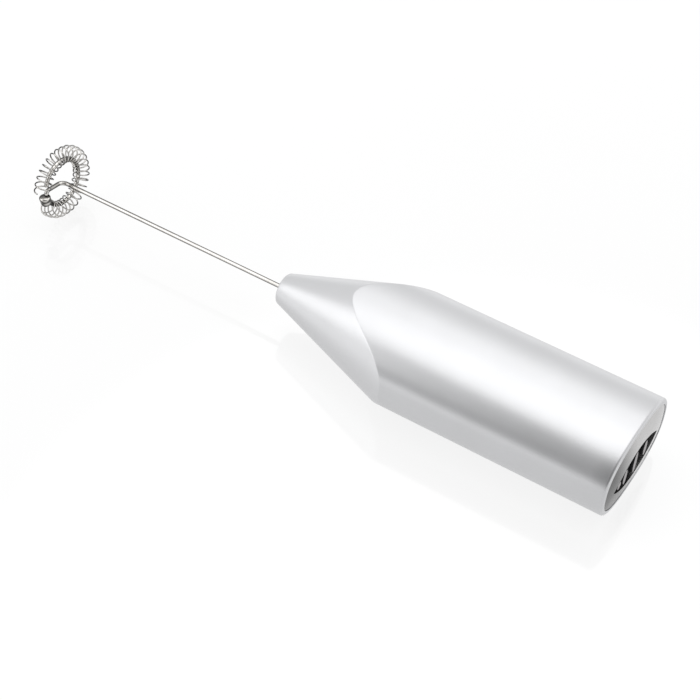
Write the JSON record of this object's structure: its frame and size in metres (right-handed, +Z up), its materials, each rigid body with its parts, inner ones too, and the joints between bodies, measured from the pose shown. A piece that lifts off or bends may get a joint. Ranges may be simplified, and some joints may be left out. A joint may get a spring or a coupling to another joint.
{
  "type": "milk frother",
  "caption": "Battery hand frother: silver cone-nosed oval handle, slide switch in the tail, wire whisk with a coil-sprung hoop, spun by a small motor.",
  "frame": {"origin": "on the surface it lies on, under the middle of the flat land of the battery door, on the centre line", "axes": "+X along the whisk's spin axis towards the tail switch, +Y across the flattened handle, +Z up, out of the handle's front face"},
  "size_m": [0.2122, 0.041, 0.0268],
  "materials": {
    "silver_shell": "satin silver",
    "foam": "closed-cell foam",
    "grey_panel": "semi-gloss grey",
    "black_switch": "semi-gloss black",
    "black_plastic": "moulded black",
    "brass_parts": "satin",
    "cell_jacket": "printed jacket",
    "plated_contact": "nickel plate",
    "motor_steel": "plated steel",
    "white_nylon": "moulded white",
    "magnet": "ferrite and carbon",
    "rotor_steel": "stacked steel",
    "copper_wire": "lacquered copper",
    "screw_steel": "zinc plate",
    "stainless": "polished stainless wire",
    "red_lead": "red insulation",
    "black_lead": "black insulation"
  },
  "bodies": {
    "housing": {"main_shell": "silver_shell", "end_panel": "grey_panel", "switch_case": "black_plastic", "switch_contacts": "brass_parts", "cell_near": "cell_jacket", "cell_far": "cell_jacket", "positive_contact": "plated_contact", "negative_contact": "plated_contact", "bridge_contact": "plated_contact", "spring_far": "plated_contact", "spring_near": "plated_contact", "motor_can": "motor_steel", "front_bush": "brass_parts", "motor_end_bell": "white_nylon", "rear_bush": "brass_parts", "motor_magnets": "magnet", "motor_brushes": "magnet", "motor_terminals": "brass_parts", "chassis": "black_plastic", "chassis_screws": "screw_steel", "motor_strap": "black_plastic", "strap_screws": "screw_steel", "nose_bush": "white_nylon", "lead_battery": "red_lead", "lead_motor": "black_lead", "lead_switch": "red_lead"},
    "drive": {"shaft_coupling": "brass_parts", "whisk_wire": "stainless", "whisk_sleeve": "stainless", "whisk_spring": "stainless", "motor_shaft": "motor_steel", "rotor_core": "rotor_steel", "rotor_windings": "copper_wire", "commutator_hub": "black_plastic", "commutator": "copper_wire"},
    "switch": {"switch_slider": "black_switch", "switch_bridge": "brass_parts"},
    "door": {"battery_door": "silver_shell", "door_pad": "foam"}
  },
  "joints": [
    {"name": "whisk_spin", "type": "hinge", "parent": "housing", "child": "drive", "pos_m": [0, 0, 0.01325], "axis": [1, 0, 0], "continuous": true},
    {"name": "switch_slide", "type": "slide", "parent": "housing", "child": "switch", "axis": [0, 1, 0], "range_m": [0, 0.0028]},
    {"name": "door_slide", "type": "slide", "parent": "housing", "child": "door", "axis": [1, 0, 0], "range_m": [0, 0.08]}
  ]
}
